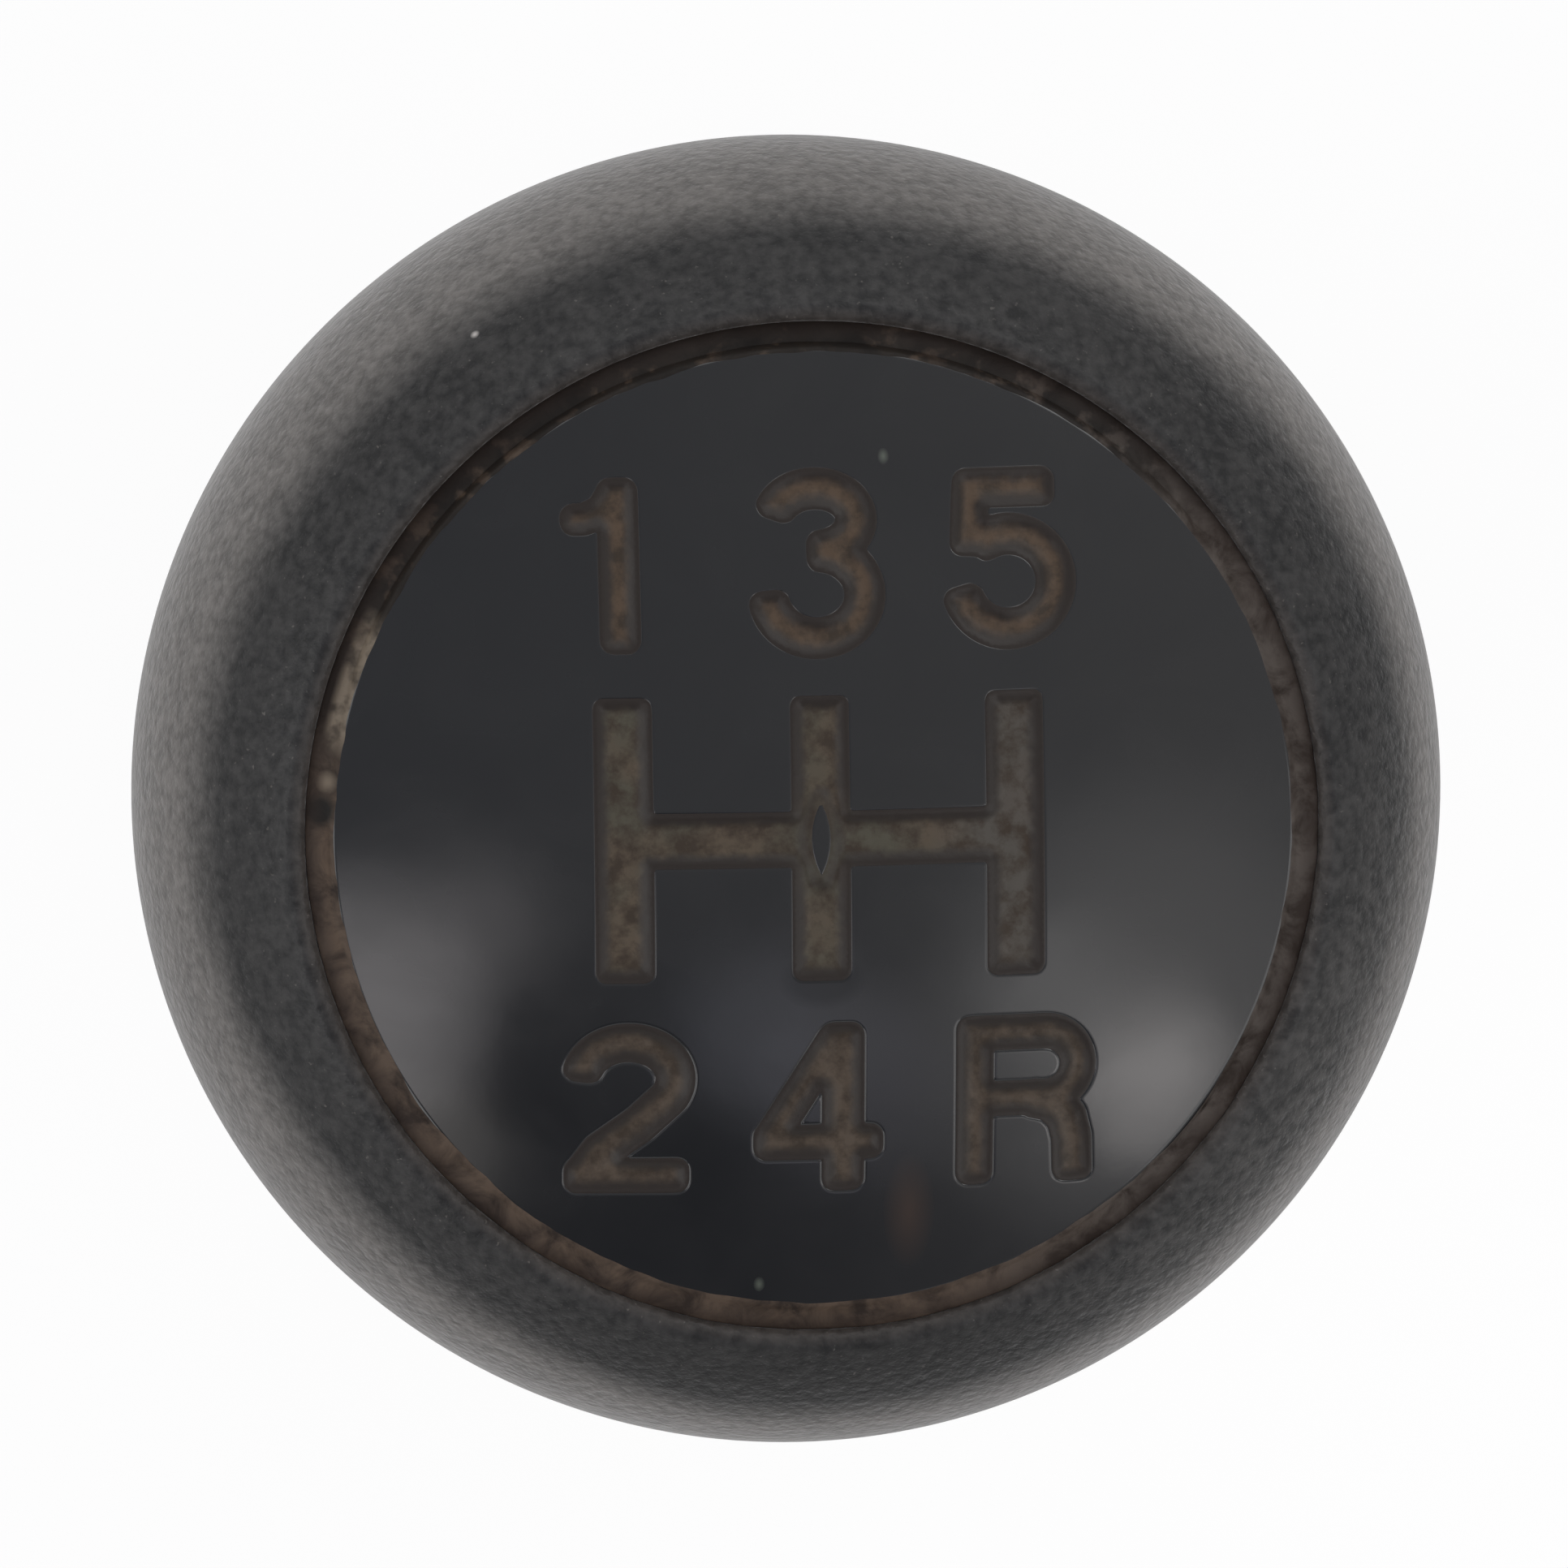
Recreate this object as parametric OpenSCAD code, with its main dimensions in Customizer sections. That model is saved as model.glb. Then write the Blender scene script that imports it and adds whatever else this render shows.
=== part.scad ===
// Round screw-on gear shift knob: a soft grained grip moulded over a rigid core,
// with a brass lever thread below and a glossy cap with an engraved gate above.
// Units are millimetres. +Z runs up the lever axis and +Y to the top of the legend.
// The origin is the centre of the foot ring that the knob stands on.

/* [Grip] */
// Diameter at the widest level
knob_d = 50; // [47:1:56]
// Height of the widest level above the foot
waist_z = 42; // [38:1:50]
// Radius of the round shoulder above the widest level
shoulder_r = 14.6; // [12:0.2:16]
// Radius of the long sweep below the widest level
belly_r = 27; // [25:1:30]
// Radius of the hollow sweep into the neck
sweep_r = 20; // [14:1:24]
// Diameter of the neck
neck_d = 28; // [26:1:30]
// Rounding of the foot's outer edge
foot_edge_r = 1.2; // [0.6:0.2:2]
// Rounding of the lip round the cap
lip_edge_r = 0.5; // [0.3:0.1:0.8]
// Thickness of the grip's wall at the foot
foot_wall = 2; // [1.5:0.1:3]

/* [Cap] */
// Width of the shoulder between the cap's recess and the widest level
shoulder_w = 6; // [5:0.5:7]
// Depth of the recess below the lip
recess_depth = 3.4; // [3:0.1:4]
// Width of the open groove round the cap
groove_w = 0.85; // [0.8:0.05:1.2]
// Height of the cap's dome above the lip
dome_rise = 2.8; // [2:0.2:3.6]
// Wall of the cap over its hollow
cap_wall = 2; // [1.6:0.1:2.4]
// Width of the cap's rim that rests on the bond
cap_rim_w = 2.6; // [2:0.1:3]
// Rounding of the cap's outer edge
cap_edge_r = 0.4; // [0.3:0.1:0.6]
// Diameter of the two locating pegs under the cap
peg_d = 2.9; // [2.4:0.1:3.4]
// Distance of each peg's axis inside the wall of the cap's hollow
peg_inset = 5.5; // [4:0.5:7]
// Length of a peg below the cap's ceiling
peg_l = 2.6; // [1.8:0.2:3.4]

/* [Legend] */
// Radius of the cap that the legend is drawn for, and grows or shrinks with
legend_r = 18.15; // [17.65:0.1:20.15]
// Distance between the gate's bars
gate_pitch = 7.3; // [6.6:0.1:7.6]
// Height of the gate's bars
gate_h = 10.3; // [9.5:0.1:11]
// Width of the gate's bars
bar_w = 1.8; // [1.6:0.1:2]
// Width of the gate's cross arm
arm_w = 1.7; // [1.3:0.1:1.8]
// Width of the neutral mark left standing in the middle bar
neutral_w = 1.1; // [1:0.1:1.4]
// Height of the neutral mark
neutral_h = 3.5; // [2.5:0.1:4]
// Distance of the rows of figures from the cross arm
row_pitch = 10.2; // [9.8:0.1:10.6]
// Height of the figures
figure_h = 6.1; // [5.5:0.1:6.4]
// Stroke width of the figures
stroke = 1.15; // [0.9:0.05:1.25]
// Depth of the engraving
engrave_depth = 0.4; // [0.3:0.05:0.6]
// Thickness of the paint on the engraving's floor
paint_t = 0.12; // [0.08:0.02:0.24]

/* [Core] */
// Radius of the hub round the lever
hub_r = 10.4; // [9.8:0.1:11]
// Height of the core's and insert's lower faces above the foot
foot_inset = 0.5; // [0.3:0.1:1]
// Thickness of the core's lower flange
base_t = 2.5; // [2:0.1:3.5]
// Thickness of the plate under the cap
plate_t = 3; // [2.4:0.1:3.6]
// Overlap of the grip's lip on the plate
plate_overlap = 1.2; // [0.8:0.1:1.6]
// Number of webs between hub and plate
web_count = 6; // [4:1:8]
// Thickness of a web
web_t = 2.4; // [1.8:0.1:3]
// Distance of a web's outer edge inside the widest level
web_inset = 8; // [7.5:0.5:10]
// Height of the webs below the plate
web_h = 17; // [12:1:18]
// Depth of the lever socket above the foot
socket_z = 34; // [28:1:36]
// Radius of the socket above the thread
socket_r = 6.2; // [5.9:0.1:6.6]

/* [Threaded insert] */
// Radius of the lever thread's bore
thread_r = 5.32; // [4.5:0.01:5.4]
// Length of the insert
insert_l = 20; // [16:1:22]
// Radius of the insert's flange
flange_r = 8.4; // [8:0.1:8.8]
// Thickness of the insert's flange
flange_t = 1.6; // [1.2:0.1:2]
// Radius to the tips of the knurl
knurl_r = 7.9; // [7.7:0.1:8]
// Depth of the knurl
knurl_depth = 0.4; // [0.3:0.05:0.5]
// Number of teeth round the knurl
knurl_teeth = 32; // [24:4:40]
// Width of the locking groove between the two knurled bands
lock_w = 4; // [3:0.5:5]
// Depth of the locking groove
lock_depth = 0.9; // [0.7:0.1:1.1]
// Height of the lead-in cone at the thread's mouth
lead_in = 0.9; // [0.6:0.1:1.2]

/* [Fits] */
// Clearance between the cap's hollow and the core's spigot
cap_fit = 0.15; // [0.1:0.05:0.25]
// Clearance above the spigot under the cap's ceiling
ceiling_gap = 0.4; // [0.3:0.05:0.6]
// Clearance round a peg in its hole
peg_fit = 0.1; // [0.05:0.05:0.2]
// Clearance below a peg in its hole
peg_end_gap = 0.4; // [0.3:0.1:0.6]
// Thickness of the bond under the cap's rim
bond_t = 0.3; // [0.2:0.05:0.4]
// Width of the bond squeezed up round the cap
bead_w = 0.75; // [0.5:0.05:0.75]
// Depth of that bead below the lip
bead_drop = 0.5; // [0.4:0.1:1.2]

/* [Hidden] */
GEARS = ["1", "2", "3", "4", "5", "r"];
$fn = 96;
arc_step = 9;      // degrees between the points of an arc
reach = knob_d;    // length of a cutting solid, past everything it cuts

knob_r = knob_d / 2;
neck_r = neck_d / 2;
recess_r = knob_r - shoulder_w;
cap_r = recess_r - groove_w;

// Centres of the grip's arcs, each one tangent to the next
shoulder_x = knob_r - shoulder_r;
belly_x = knob_r - belly_r;
sweep_x = neck_r + sweep_r;
sweep_z = waist_z - sqrt(pow(belly_r + sweep_r, 2) - pow(sweep_x - belly_x, 2));
belly_turn = atan2(waist_z - sweep_z, sweep_x - belly_x);
lip_x = recess_r + lip_edge_r;
lip_rise = sqrt(pow(shoulder_r - lip_edge_r, 2) - pow(lip_x - shoulder_x, 2));
lip_turn = atan2(lip_rise, lip_x - shoulder_x);
lip_z = waist_z + lip_rise + lip_edge_r;
seat_z = lip_z - recess_depth;

// The cap's dome is a sphere through its edge and its apex
dome_r = (pow(cap_r, 2) + pow(dome_rise, 2)) / (2 * dome_rise);
dome_z = lip_z + dome_rise - dome_r;
cap_edge_x = cap_r - cap_edge_r;
cap_edge_z = dome_z + sqrt(pow(dome_r - cap_edge_r, 2) - pow(cap_edge_x, 2));
cap_edge_turn = atan2(cap_edge_z - dome_z, cap_edge_x);
hollow_r = cap_r - cap_rim_w;
spigot_r = hollow_r - cap_fit;
ceiling_r = dome_r - cap_wall;
peg_x = hollow_r - peg_inset;
peg_root_z = dome_z + sqrt(pow(ceiling_r, 2) - pow(peg_x, 2));

plate_r = recess_r + plate_overlap;
plate_z = seat_z - plate_t;
base_r = neck_r - foot_wall;
web_r = knob_r - web_inset;
insert_top = foot_inset + insert_l;
knurl_l = (insert_l - flange_t - lock_w) / 2;

// The figures' points are given for this height
drawn_h = 6.1;
figure_scale = figure_h / drawn_h;
line_w = stroke / figure_scale;
COLUMNS = [-gate_pitch, 0, gate_pitch];
TOP_ROW = ["1", "3", "5"];
BOTTOM_ROW = ["2", "4", "r"];

// Points of an arc of an ellipse, counted in even steps between two angles
function arc(x, y, rx, ry, from, to) =
    let (steps = ceil(abs(to - from) / arc_step))
    [for (i = [0:steps])
        let (turn = from + (to - from) * i / steps)
        [x + rx * cos(turn), y + ry * sin(turn)]];

// Unit vector from one point to another
function heading(p, q) = (q - p) / norm(q - p);

// Point beside a path's point number i, at a signed distance to its left
function beside(path, i, distance) =
    let (before = heading(path[max(i - 1, 0)], path[max(i, 1)]),
        last = len(path) - 1,
        after = heading(path[min(i, last - 1)], path[min(i + 1, last)]),
        along = heading([0, 0], before + after),
        spread = distance / (along * after))
    path[i] + spread * [-along[1], along[0]];

// A stroke of even width along a path of points
module pen(path, width) {
    points = len(path);
    polygon(concat(
        [for (i = [0:points - 1]) beside(path, i, width / 2)],
        [for (i = [points - 1:-1:0]) beside(path, i, -width / 2)]));
}

// Outline of the whole moulding, from the foot to the floor of the cap's recess
module grip_profile() {
    polygon(concat(
        [[0, 0]],
        arc(neck_r - foot_edge_r, foot_edge_r, foot_edge_r, foot_edge_r, -90, 0),
        arc(sweep_x, sweep_z, sweep_r, sweep_r, 180, 180 - belly_turn),
        arc(belly_x, waist_z, belly_r, belly_r, arc_step - belly_turn, 0),
        arc(shoulder_x, waist_z, shoulder_r, shoulder_r, arc_step, lip_turn),
        arc(lip_x, waist_z + lip_rise, lip_edge_r, lip_edge_r, lip_turn + arc_step, 180),
        [[recess_r, seat_z], [0, seat_z]]));
}

// Outer form of the core inside the grip, without its holes
module core_form() {
    rotate_extrude() polygon([
        [0, 0],
        [base_r, 0],
        [base_r, foot_inset + base_t],
        [hub_r, foot_inset + base_t],
        [hub_r, plate_z],
        [plate_r, plate_z],
        [plate_r, seat_z],
        [0, seat_z]]);
    for (i = [0:web_count - 1])
        rotate(i * 360 / web_count)
            translate([0, -web_t / 2, plate_z - web_h])
                cube([web_r, web_t, web_h + plate_t / 2]);
}

// Round boss on the plate that centres the cap, with a domed top
module spigot() {
    rotate_extrude() intersection() {
        translate([0, plate_z]) square([spigot_r, reach]);
        translate([0, dome_z]) circle(ceiling_r - ceiling_gap);
    }
}

// Holes of the two pegs in the spigot
module peg_holes() {
    depth = peg_l + peg_end_gap;
    for (side = [-1, 1])
        translate([side * peg_x, 0, peg_root_z - depth])
            cylinder(r = peg_d / 2 + peg_fit, h = reach);
}

// Star outline of the straight knurl
module knurl_outline() {
    polygon([for (i = [0:2 * knurl_teeth - 1])
        let (turn = i * 180 / knurl_teeth, r = knurl_r - (i % 2) * knurl_depth)
        [r * cos(turn), r * sin(turn)]]);
}

// Outer form of the insert, which the core is moulded round
module insert_form() {
    translate([0, 0, foot_inset]) cylinder(r = flange_r, h = flange_t);
    for (z = [flange_t, flange_t + knurl_l + lock_w])
        translate([0, 0, foot_inset + z]) linear_extrude(knurl_l) knurl_outline();
    translate([0, 0, foot_inset + flange_t])
        cylinder(r = knurl_r - knurl_depth - lock_depth, h = insert_l - flange_t);
}

// Section of the cap: domed top, rounded edge, rim and hollow
module cap_profile() {
    edge = arc(cap_edge_x, cap_edge_z, cap_edge_r, cap_edge_r, 0, cap_edge_turn - arc_step);
    past_edge = edge[len(edge) - 1] + [-cap_edge_r, cap_edge_r];
    difference() {
        intersection() {
            polygon(concat([[0, seat_z + bond_t], [cap_r, seat_z + bond_t]], edge,
                [past_edge, [0, past_edge[1] + dome_rise]]));
            translate([0, dome_z]) circle(dome_r);
        }
        intersection() {
            translate([0, seat_z]) square([hollow_r, reach]);
            translate([0, dome_z]) circle(ceiling_r);
        }
    }
}

module figure_1() {
    pen([[0, 3.05], [0, -3.05]], line_w);
    pen([[-1.95, 1.7], [-1.25, 1.72], [-0.6, 2], [-0.2, 2.6]], 0.7 * line_w);
}

module figure_2() {
    pen(concat(arc(0.1, 1.2, 1.75, 1.4, 178, -30), [[0.5, -0.55], [-0.95, -1.6], [-1.6, -2.5]]),
        line_w);
    pen([[-2.15, -2.55], [2.2, -2.55]], 0.9 * line_w);
}

module figure_3() {
    pen(arc(0, 1.6, 1.55, 1.15, 170, -95), line_w);
    pen(arc(0, -1.15, 1.8, 1.6, 95, -180), line_w);
}

module figure_4() {
    pen([[0.8, 3.1], [0.8, -3.1]], 1.1 * line_w);
    pen([[0.55, 2.75], [-1.95, -1.2]], 0.85 * line_w);
    pen([[-2.4, -1.35], [2.15, -1.35]], 0.9 * line_w);
}

module figure_5() {
    pen([[-1.95, 2.6], [1.55, 2.6]], 0.95 * line_w);
    pen([[-1.45, 2.7], [-1.6, 0.3]], 0.9 * line_w);
    pen(arc(-0.1, -0.85, 1.8, 1.75, 132, -170), line_w);
}

module figure_r() {
    pen([[-1.55, 3.15], [-1.55, -3.05]], 0.95 * line_w);
    pen(concat([[-1.7, 2.65]], arc(1.1, 1.38, 1.27, 1.27, 90, -90), [[-1.7, 0.11]]), 0.9 * line_w);
    pen([[0.5, 0.11], [1.4, -0.1], [1.95, -0.7], [2.15, -1.5], [2.2, -3.05]], 1.05 * line_w);
}

// One figure of the legend, in its place on the cap
module figure(gear) {
    top = search([gear], TOP_ROW)[0];
    bottom = search([gear], BOTTOM_ROW)[0];
    place = is_num(top) ? [COLUMNS[top], row_pitch] : [COLUMNS[bottom], -row_pitch];
    translate(place) scale(figure_scale) {
        if (gear == "1") figure_1();
        if (gear == "2") figure_2();
        if (gear == "3") figure_3();
        if (gear == "4") figure_4();
        if (gear == "5") figure_5();
        if (gear == "r") figure_r();
    }
}

// Lens-shaped neutral mark, drawn by two arcs
module neutral_mark() {
    bow_r = (pow(neutral_h, 2) + pow(neutral_w, 2)) / (4 * neutral_w);
    turn = asin(neutral_h / 2 / bow_r);
    shift = bow_r - neutral_w / 2;
    right = arc(-shift, 0, bow_r, bow_r, -turn, turn);
    left = arc(shift, 0, bow_r, bow_r, 180 - turn, 180 + turn);
    polygon(concat(right, [for (i = [1:len(left) - 2]) left[i]]));
}

// The gate: three bars on one arm, less the neutral mark
module gate() {
    difference() {
        union() {
            for (x = COLUMNS)
                translate([x, 0]) square([bar_w, gate_h], center = true);
            square([2 * gate_pitch, arm_w], center = true);
        }
        neutral_mark();
    }
}

// All of an outline that lies deeper than the engraving's floor is left out
module engraved(height) {
    difference() {
        intersection() {
            translate([0, 0, lip_z - reach / 2])
                linear_extrude(reach) scale(cap_r / legend_r) children();
            translate([0, 0, dome_z]) sphere(dome_r - engrave_depth + height);
        }
        translate([0, 0, dome_z]) sphere(dome_r - engrave_depth);
    }
}

// Paint lying on the floor of the engraving
module paint() {
    color([0.36, 0.29, 0.23]) engraved(paint_t) children();
}

module grip() {
    color([0.2, 0.2, 0.2]) difference() {
        rotate_extrude() grip_profile();
        core_form();
    }
}

module core() {
    color([0.12, 0.12, 0.13]) difference() {
        union() {
            core_form();
            spigot();
        }
        translate([0, 0, foot_inset - reach]) cylinder(r = knob_r, h = reach);
        insert_form();
        cylinder(r = thread_r, h = insert_top);
        translate([0, 0, insert_top]) cylinder(r = socket_r, h = socket_z - insert_top);
        peg_holes();
    }
}

module threaded_insert() {
    cone_r = thread_r + lead_in;
    color([0.78, 0.62, 0.3]) difference() {
        insert_form();
        cylinder(r = thread_r, h = insert_top + reach);
        translate([0, 0, foot_inset]) cylinder(r1 = cone_r, r2 = thread_r, h = lead_in);
    }
}

module cap() {
    color([0.1, 0.11, 0.12]) difference() {
        union() {
            rotate_extrude() cap_profile();
            for (side = [-1, 1])
                translate([side * peg_x, 0, peg_root_z - peg_l])
                    cylinder(r = peg_d / 2, h = peg_l + cap_wall / 2);
        }
        engraved(2 * engrave_depth) gate();
        for (gear = GEARS)
            engraved(2 * engrave_depth) figure(gear);
    }
}

module cap_bond() {
    bead_r = cap_r + bead_w;
    color([0.33, 0.25, 0.17]) rotate_extrude() polygon([
        [spigot_r, seat_z],
        [bead_r, seat_z],
        [bead_r, lip_z - bead_drop],
        [cap_r, lip_z - bead_drop],
        [cap_r, seat_z + bond_t],
        [spigot_r, seat_z + bond_t]]);
}

grip();
core();
threaded_insert();
cap();
cap_bond();
paint() gate();  // paint_gate
for (gear = GEARS)
    paint() figure(gear);
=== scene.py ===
import math

import bpy
import numpy as np
from mathutils import Matrix, Vector
from mathutils.geometry import delaunay_2d_cdt


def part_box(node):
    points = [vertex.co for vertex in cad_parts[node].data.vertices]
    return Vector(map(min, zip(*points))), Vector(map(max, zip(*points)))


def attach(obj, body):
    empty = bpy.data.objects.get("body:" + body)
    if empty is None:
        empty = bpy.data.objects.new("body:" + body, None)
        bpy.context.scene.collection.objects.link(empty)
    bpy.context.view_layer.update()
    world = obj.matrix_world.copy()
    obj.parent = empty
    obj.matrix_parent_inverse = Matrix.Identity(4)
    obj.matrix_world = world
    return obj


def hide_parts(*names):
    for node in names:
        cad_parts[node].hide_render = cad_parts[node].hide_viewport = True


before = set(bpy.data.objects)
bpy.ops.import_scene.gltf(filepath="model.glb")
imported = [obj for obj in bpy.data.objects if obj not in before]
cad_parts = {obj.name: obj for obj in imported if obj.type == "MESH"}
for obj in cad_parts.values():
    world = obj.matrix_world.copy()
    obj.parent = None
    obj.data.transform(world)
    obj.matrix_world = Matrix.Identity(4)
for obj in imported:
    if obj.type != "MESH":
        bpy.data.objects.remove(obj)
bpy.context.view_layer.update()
MM = 0.001
TAU = 2 * math.pi


def corners(node):
    """Lowest and highest corner of a CAD node, in mm."""
    low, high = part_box(node)
    return np.array(low) / MM, np.array(high) / MM


# Sizes in mm, read off the frame
KNOB_R = corners("grip")[1][0]
CAP_R = corners("cap")[1][0]
SEAT_Z = corners("cap_bond")[0][2]
PLATE_R = corners("core")[1][0]
CORE_Z = corners("core")[0][2]
FLANGE_R = corners("threaded_insert")[1][0]
INSERT_Z = corners("threaded_insert")[1][2]

# Forms in mm, the same as the solids have
WAIST_Z = 42.0
SHOULDER_R = 14.6
BELLY_R = 27.0
SWEEP_R = 20.0
NECK_R = 14.0
FOOT_WALL = 2.0
FOOT_EDGE_R = 1.2
LIP_EDGE_R = 0.5
SHOULDER_W = 6.0
RECESS_DEPTH = 3.4
DOME_RISE = 2.8
CAP_EDGE_R = 0.4
CAP_RIM_W = 2.6
CAP_WALL = 2.0
CAP_FIT = 0.15
BOND_T = 0.3
PEG_X = 10.05
PEG_R = 1.45
PEG_L = 2.6
HUB_R = 10.4
BASE_T = 2.5
PLATE_T = 3.0
ENGRAVE_DEPTH = 0.4

RECESS_R = KNOB_R - SHOULDER_W
LIP_Z = SEAT_Z + RECESS_DEPTH
DOME_R = (CAP_R ** 2 + DOME_RISE ** 2) / (2 * DOME_RISE)
DOME_Z = LIP_Z + DOME_RISE - DOME_R
HOLLOW_R = CAP_R - CAP_RIM_W
CEILING_R = DOME_R - CAP_WALL
CAP_EDGE_X = CAP_R - CAP_EDGE_R
CAP_EDGE_Z = DOME_Z + math.sqrt((DOME_R - CAP_EDGE_R) ** 2 - CAP_EDGE_X ** 2)
CAP_EDGE_TURN = math.degrees(math.atan2(CAP_EDGE_Z - DOME_Z, CAP_EDGE_X))
DISC_R = DOME_R * math.cos(math.radians(CAP_EDGE_TURN))

# The engraving's wall rises from its floor to the cap's face between these distances from a glyph's outline
WALL_IN = -0.2
WALL_OUT = 0.24
GLYPHS = ("gate", "1", "2", "3", "4", "5", "r")

# Fineness of the meshes: steps in mm, and counts
GRID = 0.07
FINE_STEP = 0.09
LOOP_STEP = 0.13
PAINT_PITCH = 0.16
CAP_PITCH = 0.62
WALL_LOOPS = 8
TURNS = 256


def arc(cx, cz, r, start, end, steps):
    """Points of an arc between two angles in degrees."""
    turn = np.radians(np.linspace(start, end, steps + 1))
    return list(zip(cx + r * np.cos(turn), cz + r * np.sin(turn)))


def make_piece(name, points, faces, material, sharp=40):
    """A mesh object from points in mm, smooth but for its sharp edges."""
    mesh = bpy.data.meshes.new(name)
    mesh.from_pydata((np.asarray(points, float) * MM).tolist(), [], faces)
    mesh.validate()
    mesh.shade_smooth()
    mesh.set_sharp_from_angle(angle=math.radians(sharp))
    mesh.materials.append(material)
    obj = bpy.data.objects.new(name, mesh)
    bpy.context.scene.collection.objects.link(obj)
    return obj


def ring_faces(rows, turns, closed, first=0):
    """Quads between rows of points round the axis, the last row joined to the first when closed."""
    faces = []
    for i in range(rows if closed else rows - 1):
        a, b = first + i * turns, first + (i + 1) % rows * turns
        for j in range(turns):
            k = (j + 1) % turns
            faces.append((a + j, a + k, b + k, b + j))
    return faces


def revolved(profile, turns):
    """Points of a section turned round the axis, row by row."""
    section = np.array(profile)
    turn = np.arange(turns) * TAU / turns
    r, z = section[:, :1], section[:, 1:]
    x, y = r * np.cos(turn), r * np.sin(turn)
    return np.stack([x, y, np.broadcast_to(z, x.shape)], axis=-1).reshape(-1, 3)


def waves(x, y, size, seed, count=24):
    """Smooth seeded unevenness of about -1 to 1 with features of one size."""
    rng = np.random.default_rng(seed)
    total = np.zeros_like(x, float)
    for _ in range(count):
        turn, shift = rng.uniform(0, TAU, 2)
        pitch = size * rng.uniform(0.6, 2.2)
        total += np.sin((x * math.cos(turn) + y * math.sin(turn)) * TAU / pitch + shift)
    return total / math.sqrt(count)


# Nodes of materials

def add(tree, kind, inputs=None, **settings):
    """A node with its settings made and its inputs set or linked."""
    made = tree.nodes.new(kind)
    for key, value in settings.items():
        setattr(made, key, value)
    for key, value in (inputs or {}).items():
        if isinstance(value, bpy.types.NodeSocket):
            tree.links.new(value, made.inputs[key])
        else:
            made.inputs[key].default_value = value
    return made


def math_node(tree, operation, a, b=0.0):
    """The result of one sum on one or two numbers or sockets."""
    return add(tree, "ShaderNodeMath", {0: a, 1: b}, operation=operation).outputs[0]


def place(tree):
    """Socket of the place on the object, in metres."""
    return add(tree, "ShaderNodeTexCoord").outputs["Object"]


def noise(tree, size_mm, detail=3.0, rough=0.55, seed=0.0, distort=0.0):
    """Socket of a noise whose features have a size in mm."""
    apart = (seed, seed * 0.7, -seed)
    shifted = add(tree, "ShaderNodeVectorMath", {0: place(tree), 1: apart}, operation="ADD")
    inputs = {"Vector": shifted.outputs[0], "Scale": 1 / (size_mm * MM), "Detail": detail,
              "Roughness": rough, "Distortion": distort}
    return add(tree, "ShaderNodeTexNoise", inputs).outputs["Fac"]


def ramp(tree, value, low, high, start, end):
    """A value stretched from one span to another, without going past its ends."""
    inputs = {"Value": value, "From Min": low, "From Max": high, "To Min": start, "To Max": end}
    return add(tree, "ShaderNodeMapRange", inputs, clamp=True).outputs[0]


def spot(tree, centre_mm, radius_mm, soft=0.5, squeeze=(1, 1, 1)):
    """1 inside a ball round a place on the object and 0 outside it. A squeeze under 1 lengthens the ball."""
    centre = tuple(np.array(centre_mm) * MM * squeeze)
    drawn = add(tree, "ShaderNodeVectorMath", {0: place(tree), 1: squeeze}, operation="MULTIPLY").outputs[0]
    away = add(tree, "ShaderNodeVectorMath", {0: drawn, 1: centre}, operation="DISTANCE")
    edge = radius_mm * MM
    return ramp(tree, away.outputs["Value"], edge * (1 - soft), edge, 1.0, 0.0)


def mix(tree, factor, a, b):
    """Colour between two colours or sockets."""
    made = add(tree, "ShaderNodeMix", data_type="RGBA")
    for socket, value in ((made.inputs[0], factor), (made.inputs[6], a), (made.inputs[7], b)):
        if isinstance(value, bpy.types.NodeSocket):
            tree.links.new(value, socket)
        elif socket == made.inputs[0]:
            socket.default_value = value
        else:
            socket.default_value = (*value, 1.0)
    return made.outputs[2]


def bump(tree, height, distance_mm, normal=None):
    """Normal socket of a surface raised by a height of 0 to 1 times a distance."""
    inputs = {"Height": height, "Distance": distance_mm * MM, "Strength": 1.0}
    if normal is not None:
        inputs["Normal"] = normal
    return add(tree, "ShaderNodeBump", inputs).outputs[0]


def new_material(name, **constants):
    """A material with its tree and its shader, and the shader's constants set."""
    material = bpy.data.materials.new(name)
    material.use_nodes = True
    tree = material.node_tree
    shader = tree.nodes["Principled BSDF"]
    for key, value in constants.items():
        shader.inputs[key.replace("_", " ")].default_value = value
    return material, tree, shader


def link(tree, shader, **sockets):
    """Links sockets to the shader's inputs of those names."""
    for key, socket in sockets.items():
        tree.links.new(socket, shader.inputs[key.replace("_", " ")])


def from_axis(tree):
    """Distance of the shaded point from the lever axis."""
    flat = add(tree, "ShaderNodeVectorMath", {0: place(tree), 1: (1, 1, 0)}, operation="MULTIPLY").outputs[0]
    return add(tree, "ShaderNodeVectorMath", {0: flat}, operation="LENGTH").outputs["Value"]


def towards(tree, azimuth):
    """Distance of the shaded point from the lever axis, measured in one direction."""
    turn = math.radians(azimuth)
    inputs = {0: place(tree), 1: (math.cos(turn), math.sin(turn), 0)}
    return add(tree, "ShaderNodeVectorMath", inputs, operation="DOT_PRODUCT").outputs["Value"]


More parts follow.
